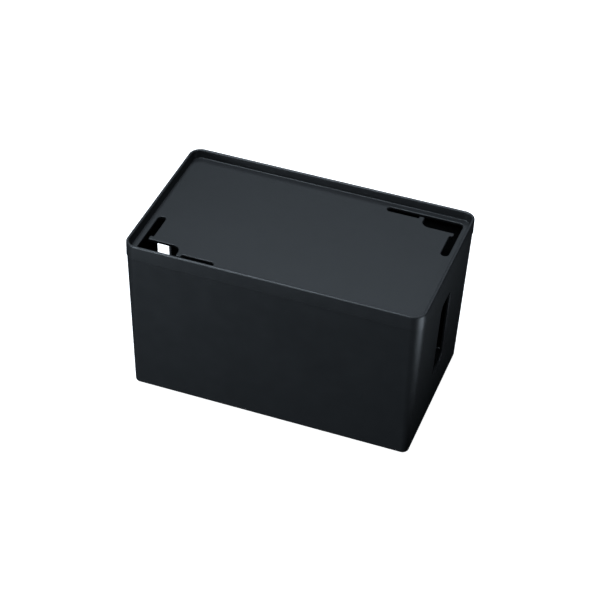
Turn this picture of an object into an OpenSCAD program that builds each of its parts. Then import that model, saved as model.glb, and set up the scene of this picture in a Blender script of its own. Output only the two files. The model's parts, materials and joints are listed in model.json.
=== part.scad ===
// Cable storage box: an open drafted bin, a loose tray lid with cable outlets, and four rubber feet.
// Millimetres, +Z up, +X along the length, -Y towards the front.
// The origin is at the middle of the footprint, on the surface that the feet stand on.

/* [Box] */
// Length over the lid
box_l = 250; // [230:1:320]
// Depth over the lid, front to back
box_w = 149; // [140:0.5:200]
// Height of the mouldings, from the underside of the bin to the top of the lid
box_h = 145; // [120:1:200]
// Wall thickness of both mouldings
wall = 2.4; // [2:0.1:3]
// Draft of the bin's walls, in degrees
draft = 2; // [1:0.1:2.5]
// Radius of the lid's upright corners, seen from above
corner_r = 10.5; // [10:0.5:14]
// Height of the 45 degree edge around the underside of the bin
base_edge = 1.5; // [1:0.1:2]

/* [Lid] */
// Height of the lid's outer wall
lid_h = 13; // [12:0.5:16]
// How far the lid stands out past the bin all round
lid_overhang = 0.5; // [0.3:0.1:1]
// Depth of the tray, from the rim down to the panel
tray_depth = 7.4; // [5:0.1:8]
// How much the tray's walls lean in from the rim to the panel
tray_lean = 0.8; // [0.5:0.1:2]
// How far the locating ribs reach down into the bin
rib_drop = 5; // [3:0.5:8]
// Thickness of the locating ribs
rib_t = 1.8; // [1.2:0.1:2]
// Gap between the ribs and the bin's walls at the top
rib_gap = 0.6; // [0.5:0.1:0.8]
// Length of each locating rib
rib_l = 30; // [20:1:35]

/* [Cable outlets in the lid] */
// Width of the slot along the long side
long_slot_w = 6; // [5:0.1:7]
// Length of the slot along the long side, from its round end to the corner
long_slot_l = 65; // [55:1:68]
// Width of the slot along the short side
short_slot_w = 6.7; // [5:0.1:7]
// Length of the slot along the short side, from its round end to the corner
short_slot_l = 46.9; // [42:0.1:50]
// Distance from the lid's end face to the outlet
outlet_end_margin = 8.3; // [8:0.1:10]
// Distance from the lid's long face to the outlet
outlet_side_margin = 8.8; // [8:0.1:10]
// Length of the wide mouth that a plug's lead bends through
mouth_l = 32.5; // [28:0.5:34]
// Width of the wide mouth
mouth_w = 15; // [13:0.1:16]
// Radius of the mouth's inner corner
mouth_r = 6.7; // [4:0.1:8]
// Radius of the outlet's outer corner
outlet_r = 4.2; // [3:0.1:6]
// How far the two retaining nubs close their slots
nub_reach = 2.9; // [2:0.1:3.2]
// Width of the retaining nubs
nub_w = 4.6; // [4:0.1:6]

/* [End slots in the bin] */
// Width of the slot in each end wall
end_slot_w = 26; // [20:1:40]
// Height of the slot's lower edge above the underside of the bin
end_slot_low = 38; // [30:1:50]
// Height of the slot's upper edge above the underside of the bin
end_slot_high = 111; // [90:1:115]
// Corner radius of the end slots
end_slot_r = 6; // [3:0.5:10]

/* [Feet] */
// Diameter of a rubber foot
foot_d = 12; // [8:0.5:16]
// Thickness of a rubber foot
foot_t = 1.8; // [1.5:0.1:3]
// How far a foot stands out below the bin
foot_proud = 1; // [0.6:0.1:1]
// Distance from the bin's bottom edges to the middle of a foot
foot_inset = 14; // [12:0.5:25]

/* [Hidden] */
$fn = 64;
eps = 0.01;
plastic = [0.045, 0.048, 0.053];
rubber = [0.02, 0.02, 0.022];

base_z = foot_proud;
top_z = base_z + box_h;
seam_z = top_z - lid_h;
panel_z = top_z - tray_depth;
panel_under_z = panel_z - wall;

bin_h = seam_z - base_z;
bin_l = box_l - 2 * lid_overhang;
bin_w = box_w - 2 * lid_overhang;
bin_r = corner_r - lid_overhang;
bin_lean = bin_h * tan(draft);
floor_z = base_z + wall;
cavity_h = seam_z - floor_z;
cavity_lean = cavity_h * tan(draft);

rib_z = seam_z - rib_drop;
rib_h = panel_under_z - rib_z;
rib_x = bin_l / 2 - wall - rib_gap - rib_t / 2;
rib_y = bin_w / 2 - wall - rib_gap - rib_t / 2;
long_rib_x = box_l / 4;

outlet_x = box_l / 2 - outlet_end_margin;
outlet_y = box_w / 2 - outlet_side_margin;
foot_x = bin_l / 2 - bin_lean - foot_inset;
foot_y = bin_w / 2 - bin_lean - foot_inset;

// A plate with four round upright corners, standing on z = 0.
module rounded_plate(l, w, r, h) {
    linear_extrude(h) {
        square([l - 2 * r, w], center = true);
        square([l, w - 2 * r], center = true);
        for (sx = [-1, 1], sy = [-1, 1])
            translate([sx * (l / 2 - r), sy * (w / 2 - r)])
                circle(r);
    }
}

// A block whose four walls lean in towards z = 0. Its length, width and corner radius are those at
// the top. The corners are cones, so every wall keeps the same lean.
module drafted_block(l, w, r, h, lean) {
    half_l = l / 2;
    half_w = w / 2;
    rotate([90, 0, 0])
        linear_extrude(w - 2 * r, center = true)
            polygon([[lean - half_l, 0], [half_l - lean, 0], [half_l, h], [-half_l, h]]);
    rotate([90, 0, 90])
        linear_extrude(l - 2 * r, center = true)
            polygon([[lean - half_w, 0], [half_w - lean, 0], [half_w, h], [-half_w, h]]);
    for (sx = [-1, 1], sy = [-1, 1])
        translate([sx * (half_l - r), sy * (half_w - r), 0])
            cylinder(h = h, r1 = r - lean, r2 = r);
}

// The outside of the bin: the drafted walls on a base with a 45 degree edge.
module bin_outside() {
    lean_above_edge = (bin_h - base_edge) * tan(draft);
    translate([0, 0, base_z + base_edge])
        drafted_block(bin_l, bin_w, bin_r, bin_h - base_edge, lean_above_edge);
    translate([0, 0, base_z])
        drafted_block(bin_l - 2 * lean_above_edge, bin_w - 2 * lean_above_edge,
            bin_r - lean_above_edge, base_edge, base_edge);
}

// The inside of the bin, open at the top.
module bin_inside() {
    over = 1;
    spread = over * tan(draft);
    translate([0, 0, floor_z])
        drafted_block(bin_l - 2 * wall + 2 * spread, bin_w - 2 * wall + 2 * spread,
            bin_r - wall + spread, cavity_h + over, cavity_lean + spread);
}

// One rounded slot that runs through both end walls.
module end_slots() {
    slot_h = end_slot_high - end_slot_low;
    translate([0, 0, base_z + (end_slot_low + end_slot_high) / 2])
        rotate([90, 0, 90])
            translate([0, 0, -box_l / 2])
                rounded_plate(end_slot_w, slot_h, end_slot_r, box_l);
}

module at_feet() {
    for (sx = [-1, 1], sy = [-1, 1])
        translate([sx * foot_x, sy * foot_y, 0])
            children();
}

module bin() {
    color(plastic)
        difference() {
            bin_outside();
            bin_inside();
            end_slots();
            at_feet()
                cylinder(h = foot_t, d = foot_d);
        }
}

// The outline of the outlet in the rear right corner, seen from above: a slot along each side,
// joined by a wide mouth, with a nub that narrows each slot so that a cable stays in.
module outlet_outline() {
    mouth_x = outlet_x - mouth_l;
    mouth_y = outlet_y - mouth_w;
    short_x = outlet_x - short_slot_w;
    difference() {
        union() {
            // the slot along the long side, with a round end
            translate([outlet_x - long_slot_l + long_slot_w / 2, outlet_y - long_slot_w])
                square([long_slot_l - long_slot_w / 2 - outlet_r, long_slot_w]);
            translate([outlet_x - long_slot_l + long_slot_w / 2, outlet_y - long_slot_w / 2])
                circle(d = long_slot_w);
            // the slot along the short side, with a round end
            translate([short_x, outlet_y - short_slot_l + short_slot_w / 2])
                square([short_slot_w, short_slot_l - short_slot_w / 2 - outlet_r]);
            translate([outlet_x - short_slot_w / 2, outlet_y - short_slot_l + short_slot_w / 2])
                circle(d = short_slot_w);
            // the wide mouth, with a round inner corner
            translate([mouth_x + mouth_r, mouth_y])
                square([mouth_l - mouth_r - short_slot_w + eps, mouth_w - eps]);
            translate([mouth_x, mouth_y + mouth_r])
                square([mouth_r + eps, mouth_w - mouth_r - eps]);
            translate([mouth_x + mouth_r, mouth_y + mouth_r])
                circle(mouth_r);
            translate([outlet_x - outlet_r, outlet_y - outlet_r])
                circle(outlet_r);
        }
        // the nub in the long slot
        translate([mouth_x - nub_w, outlet_y - long_slot_w - eps])
            square([nub_w, nub_reach + eps]);
        // the nub in the short slot
        translate([short_x - eps, mouth_y - nub_w])
            square([nub_reach + eps, nub_w]);
    }
}

module lid_ribs() {
    for (side = [-1, 1]) {
        translate([side * rib_x, 0, rib_z + rib_h / 2])
            cube([rib_t, rib_l, rib_h + eps], center = true);
        for (end = [-1, 1])
            translate([end * long_rib_x, side * rib_y, rib_z + rib_h / 2])
                cube([rib_l, rib_t, rib_h + eps], center = true);
    }
}

module lid() {
    color(plastic) {
        difference() {
            translate([0, 0, seam_z])
                rounded_plate(box_l, box_w, corner_r, lid_h);
            // the tray above the panel
            translate([0, 0, panel_z])
                drafted_block(box_l - 2 * wall, box_w - 2 * wall, corner_r - wall,
                    tray_depth + eps, tray_lean);
            // the hollow under the panel
            translate([0, 0, seam_z - eps])
                rounded_plate(box_l - 2 * wall, box_w - 2 * wall, corner_r - wall,
                    panel_under_z - seam_z + eps);
            // the outlets, a half turn apart
            for (turn = [0, 180])
                rotate([0, 0, turn])
                    translate([0, 0, seam_z])
                        linear_extrude(lid_h)
                            outlet_outline();
        }
        lid_ribs();
    }
}

module foot(side, end) {
    color(rubber)
        translate([side * foot_x, end * foot_y, 0])
            cylinder(h = foot_t, d = foot_d);
}

bin();
lid();
foot(-1, -1);  // foot_front_left
foot(1, -1);  // foot_front_right
foot(-1, 1);  // foot_rear_left
foot(1, 1);  // foot_rear_right
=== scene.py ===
# %% [markdown]
# # A cable storage box
# A power strip and its spare lead go into this box, so that nobody has to look at them. It is two
# mouldings in matte black plastic: a deep bin whose walls lean outwards, and a loose lid that is a
# shallow tray. Leads leave through two outlets in opposite corners of the tray, or through a tall slot
# in each end of the bin. Four rubber feet keep it still.
#
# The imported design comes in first. It fixes every size and place, and each piece modelled here stands
# exactly where the design's own part stands.

# %% Load the frame
import json
from math import cos, hypot, pi, radians, sin, tan

import bmesh
import bpy
from mathutils import Matrix, Vector


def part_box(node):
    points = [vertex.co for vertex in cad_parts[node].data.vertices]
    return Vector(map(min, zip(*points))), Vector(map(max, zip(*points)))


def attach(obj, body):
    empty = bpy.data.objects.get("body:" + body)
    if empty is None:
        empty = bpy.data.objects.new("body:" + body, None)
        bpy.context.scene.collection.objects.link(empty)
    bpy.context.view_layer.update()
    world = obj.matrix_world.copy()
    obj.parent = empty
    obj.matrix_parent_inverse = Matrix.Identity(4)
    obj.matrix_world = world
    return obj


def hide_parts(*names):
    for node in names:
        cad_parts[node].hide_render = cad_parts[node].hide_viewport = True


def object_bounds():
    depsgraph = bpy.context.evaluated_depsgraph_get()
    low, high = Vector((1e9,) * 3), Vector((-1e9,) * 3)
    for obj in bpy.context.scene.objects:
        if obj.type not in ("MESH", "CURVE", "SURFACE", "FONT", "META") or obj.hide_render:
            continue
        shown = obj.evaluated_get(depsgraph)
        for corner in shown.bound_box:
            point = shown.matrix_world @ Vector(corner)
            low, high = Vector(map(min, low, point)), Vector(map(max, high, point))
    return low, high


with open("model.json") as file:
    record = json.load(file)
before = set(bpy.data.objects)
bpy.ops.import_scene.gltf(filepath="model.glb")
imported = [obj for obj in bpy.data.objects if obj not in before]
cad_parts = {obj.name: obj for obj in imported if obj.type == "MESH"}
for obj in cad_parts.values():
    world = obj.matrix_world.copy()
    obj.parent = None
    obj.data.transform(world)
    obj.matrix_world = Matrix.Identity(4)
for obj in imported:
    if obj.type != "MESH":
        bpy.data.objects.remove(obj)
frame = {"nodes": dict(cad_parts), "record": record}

cad_low, cad_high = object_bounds()
print("frame:", sorted(frame["nodes"]), "from", list(cad_low), "to", list(cad_high))

# %% [markdown]
# ## Sizes
# Blender works in metres, but a moulding is thought of in millimetres, so one factor turns one into the
# other. Heights and outer sizes are measured on the frame. The rest are the dimensions that a
# toolmaker would put on the drawing: wall, draft and the width of each slot.

# %% Outer sizes and heights, from the frame
mm = 0.001
bin_low, bin_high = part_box("bin")
lid_low, lid_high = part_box("lid")
mounts = {mount["name"]: mount for mount in frame["record"]["mounts"]}

box_l = lid_high.x - lid_low.x
box_w = lid_high.y - lid_low.y
bin_l = bin_high.x - bin_low.x
bin_w = bin_high.y - bin_low.y
base_z = bin_low.z
seam_z = bin_high.z
top_z = lid_high.z
rib_z = lid_low.z
panel_z = mounts["tray_panel"]["pos_m"][2]
print(f"lid {box_l / mm:.1f} x {box_w / mm:.1f} mm, seam at {seam_z / mm:.1f}, top at {top_z / mm:.1f} mm")

# %% Wall, draft and corners
wall = 2.4 * mm
draft = radians(2)
corner_r = 10.5 * mm
bin_r = corner_r - (box_l - bin_l) / 2
floor_z = base_z + wall
bin_lean = (seam_z - base_z) * tan(draft)
cavity_lean = (seam_z - floor_z) * tan(draft)
tray_lean = 0.8 * mm
panel_under_z = panel_z - wall

# %% [markdown]
# ## Camera
# The camera is set before the modelling, so that every step can be looked at from the same place. It
# stands in front of the box, a little to the right and well above it, with a long lens that keeps the
# upright edges almost parallel. It is described in the words used in a studio: which way round, how
# high, how far away, which lens, and how much the camera is rolled. The three axes of the camera follow.

# %% Camera
round_to_the_right = radians(18.5285)
above_the_horizon = radians(38.6115)
roll = radians(2.4526)
distance = 1.602793
lens_mm = 116.487
sensor_mm = 36
aim = Vector((0.53 * mm, -0.24 * mm, (cad_low.z + cad_high.z) / 2))


def add_camera():
    back = Vector((
        sin(round_to_the_right) * cos(above_the_horizon),
        -cos(round_to_the_right) * cos(above_the_horizon),
        sin(above_the_horizon),
    ))
    level_right = Vector((cos(round_to_the_right), sin(round_to_the_right), 0))
    level_up = back.cross(level_right)
    right = level_right * cos(roll) + level_up * sin(roll)
    up = level_up * cos(roll) - level_right * sin(roll)
    data = bpy.data.cameras.new("camera")
    data.lens = lens_mm
    data.sensor_width = sensor_mm
    data.clip_start = 0.1
    data.clip_end = 20
    camera = bpy.data.objects.new("camera", data)
    turn = Matrix((right, up, back)).transposed().to_4x4()
    camera.matrix_world = Matrix.Translation(aim + back * distance) @ turn
    bpy.context.scene.collection.objects.link(camera)
    bpy.context.scene.camera = camera
    return camera


camera = add_camera()
print("camera at", [round(value, 3) for value in camera.matrix_world.translation])

# %% [markdown]
# ## Outlines
# Both mouldings start as an outline seen from above. It could be drawn point by point, but then every
# corner would be a formula. Four square corners and one **bevel of the vertices** give the same thing:
# the bevel cuts each corner back by the radius and fills it with an arc. A profile of 0.5 is a true
# circle. Small radii get fewer steps than large ones, so no part of the mesh is finer than it needs.

# %% Outlines with round corners
arc_step = 0.55 * mm
same_spot = 0.005 * mm


def rectangle(length, width):
    x, y = length / 2, width / 2
    return [(-x, -y), (x, -y), (x, y), (-x, y)]


def rounded_face(bm, corners, radii, z, up=True):
    """One flat face at height z. Its corners go round counterclockwise, each with its own radius."""
    older = set(bm.faces)
    verts = [bm.verts.new((x, y, z)) for x, y in corners]
    bm.faces.new(verts if up else verts[::-1])
    for vert, radius in zip(verts, radii):
        bmesh.ops.bevel(
            bm, geom=[vert], offset=radius, offset_type="OFFSET", affect="VERTICES",
            segments=max(4, round(radius / arc_step)), profile=0.5, material=-1,
            clamp_overlap=False)
    return next(face for face in bm.faces if face not in older)


# %% [markdown]
# ## Walls
# A moulded wall leans, so that the piece leaves its mould. That is the draft. **Inset** makes it in one
# move: the face shrinks by the lean, with an even offset, and sinks by the depth, and the ring that it
# leaves behind is the wall. The corner radius shrinks with it, just as it does in a real mould.

# %% Insets
def inset(bm, face, inwards, outwards):
    """Shrinks the face by one distance and moves it along its own normal by the other."""
    bm.normal_update()
    bmesh.ops.inset_region(
        bm, faces=[face], thickness=inwards, depth=outwards,
        use_even_offset=True, use_boundary=True)


def close_shell(bm):
    """Joins the outside to the inside along the rim, and turns every face outwards."""
    bmesh.ops.remove_doubles(bm, verts=bm.verts, dist=same_spot)
    bmesh.ops.recalc_face_normals(bm, faces=bm.faces)


# %% [markdown]
# ## Rounded edges
# No moulded edge is sharp, and it is the thin bright line on a round edge that makes a black box read
# as plastic. Each edge gets its own radius. To pick the edges, it is enough to know their height and
# how far inside the outline they lie, which a short formula for a rounded rectangle gives.

# %% Picking edges and rounding them
sharp_angle = radians(35)


def depth_inside(point, length, width, radius):
    """How far a point lies inside a rounded rectangle, seen from above."""
    over_x = max(abs(point.x) - (length / 2 - radius), 0)
    over_y = max(abs(point.y) - (width / 2 - radius), 0)
    if over_x == 0 and over_y == 0:
        return min(length / 2 - abs(point.x), width / 2 - abs(point.y))
    return radius - hypot(over_x, over_y)


def middle(edge):
    return (edge.verts[0].co + edge.verts[1].co) / 2


def is_sharp(edge):
    return len(edge.link_faces) == 2 and edge.calc_face_angle() > sharp_angle


def sharp_edges_at(bm, z, test):
    """The sharp edges that lie flat at height z and pass the test."""
    bm.normal_update()
    return [
        edge for edge in bm.edges
        if all(abs(vert.co.z - z) < same_spot for vert in edge.verts)
        and is_sharp(edge) and test(middle(edge))
    ]


def round_edges(bm, edges, radius, segments=4):
    bmesh.ops.bevel(
        bm, geom=edges, offset=radius, offset_type="OFFSET", affect="EDGES",
        segments=segments, profile=0.5, material=-1, clamp_overlap=False)
    return len(edges)


# %% [markdown]
# ## Cutting and joining
# Slots and outlets are cut with solid cutters, as a punch would. The **Boolean** modifier does the cut,
# and it is applied at once, so the new edges can be rounded afterwards like any others. The cutter is
# then thrown away. The same tool, set to union, welds the lid's ribs on.

# %% Solids, cuts and unions
def prism(bm, corners, radii, low, high):
    """A solid block with that outline, from one height to the other."""
    face = rounded_face(bm, corners, radii, low)
    made = bmesh.ops.extrude_face_region(bm, geom=[face])
    new_verts = [item for item in made["geom"] if isinstance(item, bmesh.types.BMVert)]
    bmesh.ops.translate(bm, verts=new_verts, vec=(0, 0, high - low))


def object_from(bm, name):
    mesh = bpy.data.meshes.new(name)
    bm.to_mesh(mesh)
    bm.free()
    piece = bpy.data.objects.new(name, mesh)
    bpy.context.scene.collection.objects.link(piece)
    return piece


def combined(bm, tool_bm, operation):
    """A bmesh of the first solid after the second is cut from it or joined to it."""
    close_shell(tool_bm)
    piece = object_from(bm, "blank")
    tool = object_from(tool_bm, "tool")
    modifier = piece.modifiers.new("cut", "BOOLEAN")
    modifier.operation = operation
    modifier.solver = "EXACT"
    modifier.object = tool
    done = piece.evaluated_get(bpy.context.evaluated_depsgraph_get())
    result = bmesh.new()
    result.from_mesh(done.data)
    for spent in (piece, tool):
        mesh = spent.data
        bpy.data.objects.remove(spent)
        bpy.data.meshes.remove(mesh)
    bmesh.ops.remove_doubles(result, verts=result.verts, dist=same_spot)
    return result


# %% [markdown]
# ## Finishing a piece
# Every piece ends the same way. Its faces are shaded smooth, and a **Weighted Normal** modifier lets the
# large flat faces decide the shading, so the flats stay flat and only the rounded edges turn the light.
# Then the piece is attached to the body it moves with, and the design part that it stands for is hidden.

# %% Finish and attach
def finish_piece(bm, name, body, node):
    for face in bm.faces:
        face.smooth = True
    triangles = sum(len(face.verts) - 2 for face in bm.faces)
    piece = object_from(bm, name)
    weighted = piece.modifiers.new("flat faces stay flat", "WEIGHTED_NORMAL")
    weighted.mode = "FACE_AREA"
    weighted.weight = 100
    weighted.keep_sharp = False
    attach(piece, body)
    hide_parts(node)
    print(f"{name}: {triangles} triangles, rides on {body}, stands for {node}")
    return piece


# %% [markdown]
# ## The bin
# The bin is one outline used twice. Facing down, it is drawn inwards over the full height and becomes
# the outside and the base. Facing up, it is first inset by the wall, which leaves the flat rim, and
# then sinks to the floor. The two halves meet along the rim, where close_shell joins them.

# %% Bin: walls and floor
end_slot_w = 26 * mm
end_slot_low = base_z + 38 * mm
end_slot_high = base_z + 111 * mm
end_slot_r = 6 * mm
base_round = 1.5 * mm
floor_round = 2 * mm
bin_rim_round = 0.12 * mm


def bin_walls():
    bm = bmesh.new()
    outline = rectangle(bin_l, bin_w)
    outside = rounded_face(bm, outline, [bin_r] * 4, seam_z, up=False)
    inset(bm, outside, bin_lean, seam_z - base_z)
    inside = rounded_face(bm, outline, [bin_r] * 4, seam_z)
    inset(bm, inside, wall, 0)
    inset(bm, inside, cavity_lean, floor_z - seam_z)
    close_shell(bm)
    round_edges(bm, sharp_edges_at(bm, base_z, lambda point: True), base_round)
    round_edges(bm, sharp_edges_at(bm, floor_z, lambda point: True), floor_round)
    round_edges(bm, sharp_edges_at(bm, seam_z, lambda point: True), bin_rim_round, 3)
    return bm


# %% [markdown]
# ## End slots and foot recesses
# A tall slot goes through both ends of the bin, so that a lead can run straight out. One long cutter
# makes the pair. It is built lying flat, as a rectangle with round corners, and then stood up with a
# turn that takes its height to the length of the box. Four shallow round pockets under the base hold
# the feet. The outer edges of the slots get a larger round than the inner ones, because fingers and
# leads touch those.

# %% Bin: end slots and foot recesses
slot_outer_round = 1.0 * mm
slot_inner_round = 0.4 * mm
recess_round = 0.25 * mm
recess_gap = 0.15 * mm
picking_margin = 0.1 * mm
foot_nodes = [node for node in sorted(frame["nodes"]) if node.startswith("foot_")]
foot_top_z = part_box(foot_nodes[0])[1].z


def end_slot_cutter():
    bm = bmesh.new()
    height = end_slot_high - end_slot_low
    prism(bm, rectangle(end_slot_w, height), [end_slot_r] * 4, -box_l, box_l)
    lay_along_x = Matrix(((0, 0, 1), (1, 0, 0), (0, 1, 0))).to_4x4()
    to_height = Matrix.Translation((0, 0, (end_slot_low + end_slot_high) / 2))
    bmesh.ops.transform(bm, matrix=to_height @ lay_along_x, verts=bm.verts)
    return bm


def foot_recess_cutters():
    bm = bmesh.new()
    for node in foot_nodes:
        low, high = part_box(node)
        centre = (low + high) / 2
        radius = (high.x - low.x) / 2 + recess_gap
        bmesh.ops.create_cone(
            bm, cap_ends=True, segments=64, radius1=radius, radius2=radius,
            depth=foot_top_z * 2, matrix=Matrix.Translation((centre.x, centre.y, 0)))
    return bm


def is_on_end_slot(edge):
    at = middle(edge)
    in_width = abs(at.y) < end_slot_w / 2 + picking_margin
    in_height = end_slot_low - picking_margin < at.z < end_slot_high + picking_margin
    return in_width and in_height and abs(at.x) > bin_l / 4


def wall_middle_x(z):
    return bin_l / 2 - wall / 2 - (seam_z - z) * tan(draft)


def make_bin():
    bm = combined(bin_walls(), end_slot_cutter(), "DIFFERENCE")
    bm = combined(bm, foot_recess_cutters(), "DIFFERENCE")
    bm.normal_update()
    around = [edge for edge in bm.edges if is_sharp(edge) and is_on_end_slot(edge)]
    outer = [edge for edge in around if abs(middle(edge).x) > wall_middle_x(middle(edge).z)]
    inner = [edge for edge in around if abs(middle(edge).x) <= wall_middle_x(middle(edge).z)]
    print("end slots:", len(outer), "outer edges and", len(inner), "inner edges")
    round_edges(bm, outer, slot_outer_round)
    round_edges(bm, inner, slot_inner_round, 3)
    round_edges(bm, sharp_edges_at(bm, base_z, lambda point: True), recess_round, 3)
    return finish_piece(bm, "bin_shell", "bin", "bin")


bin_shell = make_bin()

# %% [markdown]
# ## The lid
# The lid is made the same way. Facing up, the outline gives the flat rim, the leaning tray wall and the
# panel. Facing down, it gives the outer wall, the narrow edge that sits on the bin, and the hollow
# under the panel. The rim's two edges are the ones that catch the light, so they have the largest
# radii. The bottom outer edge is only just broken, and makes the fine line at the seam.

# %% Lid: rim, tray and skirt
rim_outer_round = 0.9 * mm
rim_inner_round = 0.8 * mm
tray_floor_round = 0.4 * mm
skirt_round = 0.4 * mm
skirt_inner_round = 0.3 * mm


def lid_depth(point):
    return depth_inside(point, box_l, box_w, corner_r)


def is_outer(point):
    return lid_depth(point) < wall / 2


def is_inner(point):
    return lid_depth(point) > wall / 2


def lid_walls():
    bm = bmesh.new()
    outline = rectangle(box_l, box_w)
    tray = rounded_face(bm, outline, [corner_r] * 4, top_z)
    inset(bm, tray, wall, 0)
    inset(bm, tray, tray_lean, panel_z - top_z)
    under = rounded_face(bm, outline, [corner_r] * 4, top_z, up=False)
    inset(bm, under, 0, top_z - seam_z)
    inset(bm, under, wall, 0)
    inset(bm, under, 0, seam_z - panel_under_z)
    close_shell(bm)
    round_edges(bm, sharp_edges_at(bm, panel_z, is_inner), tray_floor_round)
    round_edges(bm, sharp_edges_at(bm, top_z, is_inner), rim_inner_round)
    round_edges(bm, sharp_edges_at(bm, top_z, is_outer), rim_outer_round)
    round_edges(bm, sharp_edges_at(bm, seam_z, is_outer), skirt_round, 3)
    round_edges(bm, sharp_edges_at(bm, seam_z, is_inner), skirt_inner_round, 3)
    return bm


# %% [markdown]
# ## Cable outlets
# Each outlet is an L: a slot along the long side, a slot along the short side, and a wide mouth between
# them that a plug's lead can bend through. A small nub narrows each slot where it meets the mouth, and
# keeps a lead from slipping back. Drawn as one outline, the L is twelve corners, each with its own
# radius. The second outlet is the first one after half a turn.

# %% Lid: outlets
long_slot_w = 6 * mm
long_slot_l = 65 * mm
short_slot_w = 6.7 * mm
short_slot_l = 46.9 * mm
mouth_l = 32.5 * mm
mouth_w = 15 * mm
mouth_r = 6.7 * mm
outlet_corner_r = 4.2 * mm
nub_reach = 2.9 * mm
nub_w = 4.6 * mm
nub_r = 1.0 * mm
nub_root_r = 0.6 * mm
outlet_x = box_l / 2 - 8.3 * mm
outlet_y = box_w / 2 - 8.8 * mm
outlet_top_round = 0.6 * mm
outlet_under_round = 0.3 * mm
rim_zone = 5 * mm


def outlet_outline(half_turn):
    """The twelve corners of one outlet and their radii, counterclockwise."""
    mouth_x = outlet_x - mouth_l
    mouth_y = outlet_y - mouth_w
    short_x = outlet_x - short_slot_w
    long_y = outlet_y - long_slot_w
    end_x = outlet_x - long_slot_l
    end_y = outlet_y - short_slot_l
    just_under_half = 0.499
    long_r = long_slot_w * just_under_half
    short_r = short_slot_w * just_under_half
    corners = [
        (end_x, long_y, long_r),
        (mouth_x - nub_w, long_y, nub_root_r),
        (mouth_x - nub_w, long_y + nub_reach, nub_r),
        (mouth_x, long_y + nub_reach, nub_r),
        (mouth_x, mouth_y, mouth_r),
        (short_x + nub_reach, mouth_y, nub_r),
        (short_x + nub_reach, mouth_y - nub_w, nub_r),
        (short_x, mouth_y - nub_w, nub_root_r),
        (short_x, end_y, short_r),
        (outlet_x, end_y, short_r),
        (outlet_x, outlet_y, outlet_corner_r),
        (end_x, outlet_y, long_r),
    ]
    side = -1 if half_turn else 1
    return [(side * x, side * y) for x, y, radius in corners], [radius for x, y, radius in corners]


def outlet_cutters():
    bm = bmesh.new()
    for half_turn in (False, True):
        corners, radii = outlet_outline(half_turn)
        prism(bm, corners, radii, panel_under_z - wall, panel_z + wall)
    return bm


# %% [markdown]
# ## Locating ribs
# Six short ribs hang under the panel and drop just inside the bin, so that the lid can't slide off. Each
# one starts as a cube that is scaled to size. The bevel on its lower edges is the lead-in that lets the
# lid find its place. They belong to the same moulding, so they are welded on with a union.

# %% Lid: ribs
rib_t = 1.8 * mm
rib_l = 30 * mm
rib_gap = 0.6 * mm
rib_lead_in = 0.6 * mm
rib_root = 0.5 * mm


def rib_places():
    """The middle of each rib and its size along X and Y."""
    end_x = bin_l / 2 - wall - rib_gap - rib_t / 2
    side_y = bin_w / 2 - wall - rib_gap - rib_t / 2
    places = [(side * end_x, 0, rib_t, rib_l) for side in (-1, 1)]
    places += [(end * box_l / 4, side * side_y, rib_l, rib_t) for end in (-1, 1) for side in (-1, 1)]
    return places


def ribs():
    bm = bmesh.new()
    high = panel_under_z + rib_root
    for x, y, size_x, size_y in rib_places():
        place = Matrix.Translation((x, y, (rib_z + high) / 2))
        size = Matrix.Diagonal((size_x, size_y, high - rib_z, 1))
        bmesh.ops.create_cube(bm, size=1, matrix=place @ size)
    round_edges(bm, sharp_edges_at(bm, rib_z, lambda point: True), rib_lead_in, 3)
    return bm


def is_outlet_edge(point):
    return lid_depth(point) > rim_zone


def make_lid():
    bm = combined(lid_walls(), outlet_cutters(), "DIFFERENCE")
    bm = combined(bm, ribs(), "UNION")
    top_edges = sharp_edges_at(bm, panel_z, is_outlet_edge)
    round_edges(bm, top_edges, outlet_top_round)
    under_edges = [
        edge for edge in sharp_edges_at(bm, panel_under_z, is_outlet_edge) if edge.is_convex
    ]
    round_edges(bm, under_edges, outlet_under_round, 3)
    print("outlets:", len(top_edges), "upper edges and", len(under_edges), "lower edges rounded")
    return finish_piece(bm, "lid_tray", "lid", "lid")


lid_tray = make_lid()

# %% [markdown]
# ## Rubber feet
# A foot is a low rubber disc with a round edge and a shallow dish underneath, which grips like a sucker.
# It starts as a short cylinder from create_cone. The bottom cap is inset twice, and the inner ring is
# pushed up to make the dish. The place of each foot comes from its own part in the frame.

# %% Feet
foot_round = 0.45 * mm
dish_land = 1.6 * mm
dish_depth = 0.35 * mm
dish_slope_w = 0.7 * mm
rim_share = 0.95


def make_foot(node):
    low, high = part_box(node)
    centre = (low + high) / 2
    radius = (high.x - low.x) / 2
    bm = bmesh.new()
    bmesh.ops.create_cone(
        bm, cap_ends=True, segments=64, radius1=radius, radius2=radius,
        depth=high.z - low.z, matrix=Matrix.Translation(centre))
    bm.normal_update()
    bottom = min(bm.faces, key=lambda face: face.normal.z)
    inset(bm, bottom, dish_land, 0)
    inset(bm, bottom, dish_slope_w, -dish_depth)
    is_rim = lambda point: hypot(point.x - centre.x, point.y - centre.y) > radius * rim_share
    round_edges(bm, sharp_edges_at(bm, low.z, is_rim), foot_round)
    return finish_piece(bm, node.replace("foot_", "foot_pad_"), "bin", node)


feet = [make_foot(node) for node in foot_nodes]

# %% [markdown]
# ## Black plastic
# Black plastic isn't a black colour. It is a very dark grey with a little blue in it, and most of what
# the eye sees is the room's light on its skin. The skin decides the look: a fine matte grain from the
# mould, too small to see one by one, that breaks the reflection up. Here that is a fine noise as bump.
# Larger, slower noises vary the gloss and the tone a little, as melt flow does, because a large
# panel that is the same all over looks drawn. All of them read Object coordinates, so they
# stay where they are on the piece.

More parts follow.
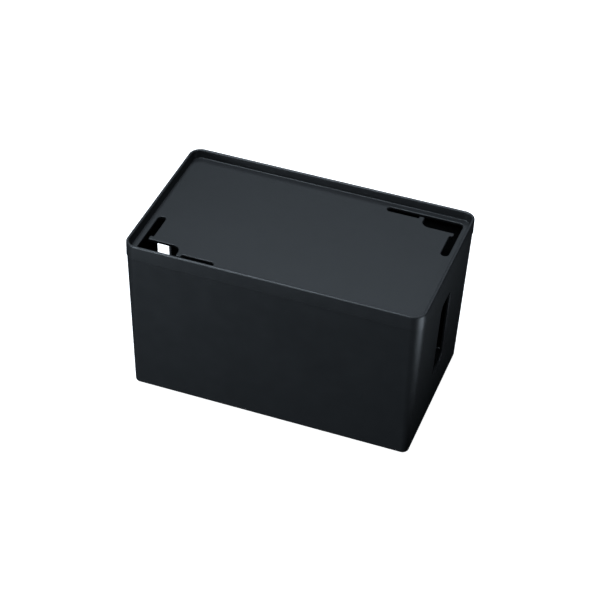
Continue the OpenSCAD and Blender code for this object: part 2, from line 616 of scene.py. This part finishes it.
# %% Node helpers
def new_material(name):
    material = bpy.data.materials.new(name)
    material.use_nodes = True
    tree = material.node_tree
    shader = tree.nodes["Principled BSDF"]
    coords = tree.nodes.new("ShaderNodeTexCoord")
    return material, tree, shader, coords.outputs["Object"]


def noise(tree, vector, scale, detail, roughness):
    node = tree.nodes.new("ShaderNodeTexNoise")
    node.inputs["Scale"].default_value = scale
    node.inputs["Detail"].default_value = detail
    node.inputs["Roughness"].default_value = roughness
    tree.links.new(vector, node.inputs["Vector"])
    return node.outputs["Fac"]


def spread(tree, value, low, high):
    """Turns a noise, which stays near the middle of 0 to 1, into a value from low to high."""
    node = tree.nodes.new("ShaderNodeMapRange")
    node.inputs["From Min"].default_value = 0.3
    node.inputs["From Max"].default_value = 0.7
    node.inputs["To Min"].default_value = low
    node.inputs["To Max"].default_value = high
    tree.links.new(value, node.inputs["Value"])
    return node.outputs["Result"]


def blend_colours(tree, factor, first, second):
    node = tree.nodes.new("ShaderNodeMix")
    node.data_type = "RGBA"
    node.inputs["A"].default_value = (*first, 1)
    node.inputs["B"].default_value = (*second, 1)
    tree.links.new(factor, node.inputs["Factor"])
    return node.outputs["Result"]


def bump(tree, height, distance, strength, after=None):
    node = tree.nodes.new("ShaderNodeBump")
    node.inputs["Distance"].default_value = distance
    node.inputs["Strength"].default_value = strength
    tree.links.new(height, node.inputs["Height"])
    if after is not None:
        tree.links.new(after, node.inputs["Normal"])
    return node.outputs["Normal"]


# %% Black plastic
dark_grey = (0.0116, 0.0124, 0.0132)
lighter_grey = (0.0134, 0.0143, 0.0152)
roughness_low = 0.38
roughness_high = 0.42


def black_plastic(name):
    material, tree, shader, place = new_material(name)
    flow = noise(tree, place, scale=22, detail=4, roughness=0.55)
    cloud = noise(tree, place, scale=90, detail=3, roughness=0.6)
    grain = noise(tree, place, scale=2600, detail=2, roughness=0.6)
    ripple = noise(tree, place, scale=320, detail=2, roughness=0.5)
    colour = blend_colours(tree, spread(tree, flow, 0, 1), dark_grey, lighter_grey)
    tree.links.new(colour, shader.inputs["Base Color"])
    skin = spread(tree, cloud, roughness_low, roughness_high)
    tree.links.new(skin, shader.inputs["Roughness"])
    wavy = bump(tree, ripple, distance=0.02 * mm, strength=0.25)
    grainy = bump(tree, grain, distance=0.02 * mm, strength=0.6, after=wavy)
    tree.links.new(grainy, shader.inputs["Normal"])
    shader.inputs["IOR"].default_value = 1.5
    shader.inputs["Specular IOR Level"].default_value = 0.5
    return material


bin_shell.data.materials.append(black_plastic("matte black plastic, bin"))
lid_tray.data.materials.append(black_plastic("matte black plastic, lid"))
print("plastic:", bin_shell.active_material.name, "and", lid_tray.active_material.name)

# %% [markdown]
# ## Black rubber
# The feet are softer and duller than the box. A coarser noise gives the slightly powdery skin of
# moulded rubber, and the roughness is high, so that they show hardly any highlight.

# %% Black rubber
rubber_dark = (0.0085, 0.0085, 0.009)
rubber_light = (0.016, 0.016, 0.0165)


def black_rubber():
    material, tree, shader, place = new_material("black rubber, feet")
    bloom = noise(tree, place, scale=350, detail=4, roughness=0.6)
    skin = noise(tree, place, scale=1800, detail=3, roughness=0.6)
    colour = blend_colours(tree, spread(tree, bloom, 0, 1), rubber_dark, rubber_light)
    tree.links.new(colour, shader.inputs["Base Color"])
    tree.links.new(spread(tree, bloom, 0.7, 0.85), shader.inputs["Roughness"])
    tree.links.new(bump(tree, skin, distance=0.03 * mm, strength=0.7), shader.inputs["Normal"])
    return material


rubber_finish = black_rubber()
for foot in feet:
    foot.data.materials.append(rubber_finish)
print("rubber:", rubber_finish.name, "on", len(feet), "feet")

# %% [markdown]
# ## Studio: floor, table and backdrop
# A black box shows the room more than it shows itself. On a floor as white as the backdrop its walls
# would turn pale grey, so the set is built the way such a product is often shot. The camera sees a
# plain white floor and a white backdrop all round. The plastic reflects a grey table half a
# millimetre lower, which the camera doesn't see, with the box's own soft shadow on it. Each of these is an
# ordinary mesh with its ray visibility switched on or off.

# %% Floor, table and backdrop
def white_glow(name, strength):
    """A matte white that also shines a little, so that it stays white in soft light."""
    material, tree, shader, place = new_material(name)
    paper = noise(tree, place, scale=40, detail=3, roughness=0.5)
    tree.links.new(bump(tree, paper, distance=0.02 * mm, strength=0.1), shader.inputs["Normal"])
    shader.inputs["Base Color"].default_value = (0.9, 0.9, 0.9, 1)
    shader.inputs["Roughness"].default_value = 0.9
    shader.inputs["Emission Color"].default_value = (1, 1, 1, 1)
    shader.inputs["Emission Strength"].default_value = strength
    return material


def table_grey():
    material, _, shader, _ = new_material("grey table")
    shader.inputs["Base Color"].default_value = (0.2, 0.2, 0.2, 1)
    shader.inputs["Roughness"].default_value = 0.9
    return material


def add_ground(name, material, drop):
    bm = bmesh.new()
    bmesh.ops.create_grid(
        bm, x_segments=1, y_segments=1, size=6, matrix=Matrix.Translation((0, 0, -drop)))
    ground = object_from(bm, name)
    ground.data.materials.append(material)
    return ground


def add_backdrop():
    bm = bmesh.new()
    bmesh.ops.create_icosphere(bm, subdivisions=3, radius=9)
    bmesh.ops.reverse_faces(bm, faces=bm.faces)
    backdrop = object_from(bm, "white_backdrop")
    backdrop.data.materials.append(white_glow("white backdrop", 1.0))
    return backdrop


floor = add_ground("white_floor", white_glow("white floor", 0.94), 0)
backdrop = add_backdrop()
table = add_ground("grey_table", table_grey(), 0.5 * mm)
table.visible_camera = False
for seen_only in (floor, backdrop):
    seen_only.visible_diffuse = False
    seen_only.visible_glossy = False
backdrop.visible_shadow = False
print("stage:", floor.name, table.name, backdrop.name)

# %% [markdown]
# ## Studio: lights
# Each light is a softbox, so every highlight has a soft edge. The one overhead lights the tray and the
# rims, and the one behind is the one that the tray mirrors. Between them they make the panel lighter
# than the walls. The one on the front left draws the bright line along the rim, and a low one further
# forward shades the long front wall from left to right. A small one on the right keeps the end wall
# from going black. A white card lies on the table to the right, and gives the front corner its upright
# highlight, which fades towards the base because the card's near edge is 14 cm from the box. A fainter
# card behind it lifts the top of the end wall. The light is a little cool.

# %% Softboxes and card
cool_white = (0.87, 1.0, 1.13)
box_middle = (0, 0, 0.08)
end_seam = (box_l / 2, 0, seam_z)
card_z = 3 * mm


def add_softbox(name, place, aim_at, width, height, radiance):
    """An area light as bright as a white surface of that radiance."""
    data = bpy.data.lights.new(name, "AREA")
    data.shape = "RECTANGLE"
    data.size = width
    data.size_y = height
    data.color = cool_white
    data.energy = radiance * pi * width * height
    light = bpy.data.objects.new(name, data)
    back = (Vector(place) - Vector(aim_at)).normalized()
    turn = back.to_track_quat("Z", "Y").to_matrix().to_4x4()
    light.matrix_world = Matrix.Translation(place) @ turn
    bpy.context.scene.collection.objects.link(light)
    print(f"{name}: {width} x {height} m, {data.energy:.2f} W")


def add_card(name, x, y, width, height, radiance):
    """A light lying on the table and shining straight up, as a lit card would."""
    add_softbox(name, (x, y, card_z), (x, y, 1), width, height, radiance)


add_softbox("softbox overhead", (-0.3, 0.0, 1.1), box_middle, 0.4, 0.4, 14.0)
add_softbox("softbox behind", (-0.25, 1.1, 1.35), box_middle, 0.9, 0.6, 1.35)
add_softbox("softbox front left", (-0.38, -0.55, 1.2), box_middle, 0.35, 0.35, 8.0)
add_softbox("low light on the left", (-0.5, -0.85, 0.12), box_middle, 0.35, 0.18, 33.0)
add_softbox("small light on the right", (0.45, -0.05, 0.45), end_seam, 0.2, 0.2, 3.0)
add_card("grey card", 0.26, 0.10, 0.13, 0.25, 0.09)
add_card("white card", 0.40, -0.12, 0.27, 0.20, 3.6)

# %% [markdown]
# ## Studio: room light
# A faint light from all round keeps the deepest shadows from going dead. The view transform is set to
# Standard, so that white stays white and the tones come out as the lights make them.

# %% Room light
room_light = 0.04


def add_room_light():
    world = bpy.data.worlds.new("studio")
    world.use_nodes = True
    background = world.node_tree.nodes["Background"]
    background.inputs["Color"].default_value = (*cool_white, 1)
    background.inputs["Strength"].default_value = room_light
    bpy.context.scene.world = world


add_room_light()
print("room light:", room_light)
bpy.context.scene.view_settings.view_transform = "Standard"
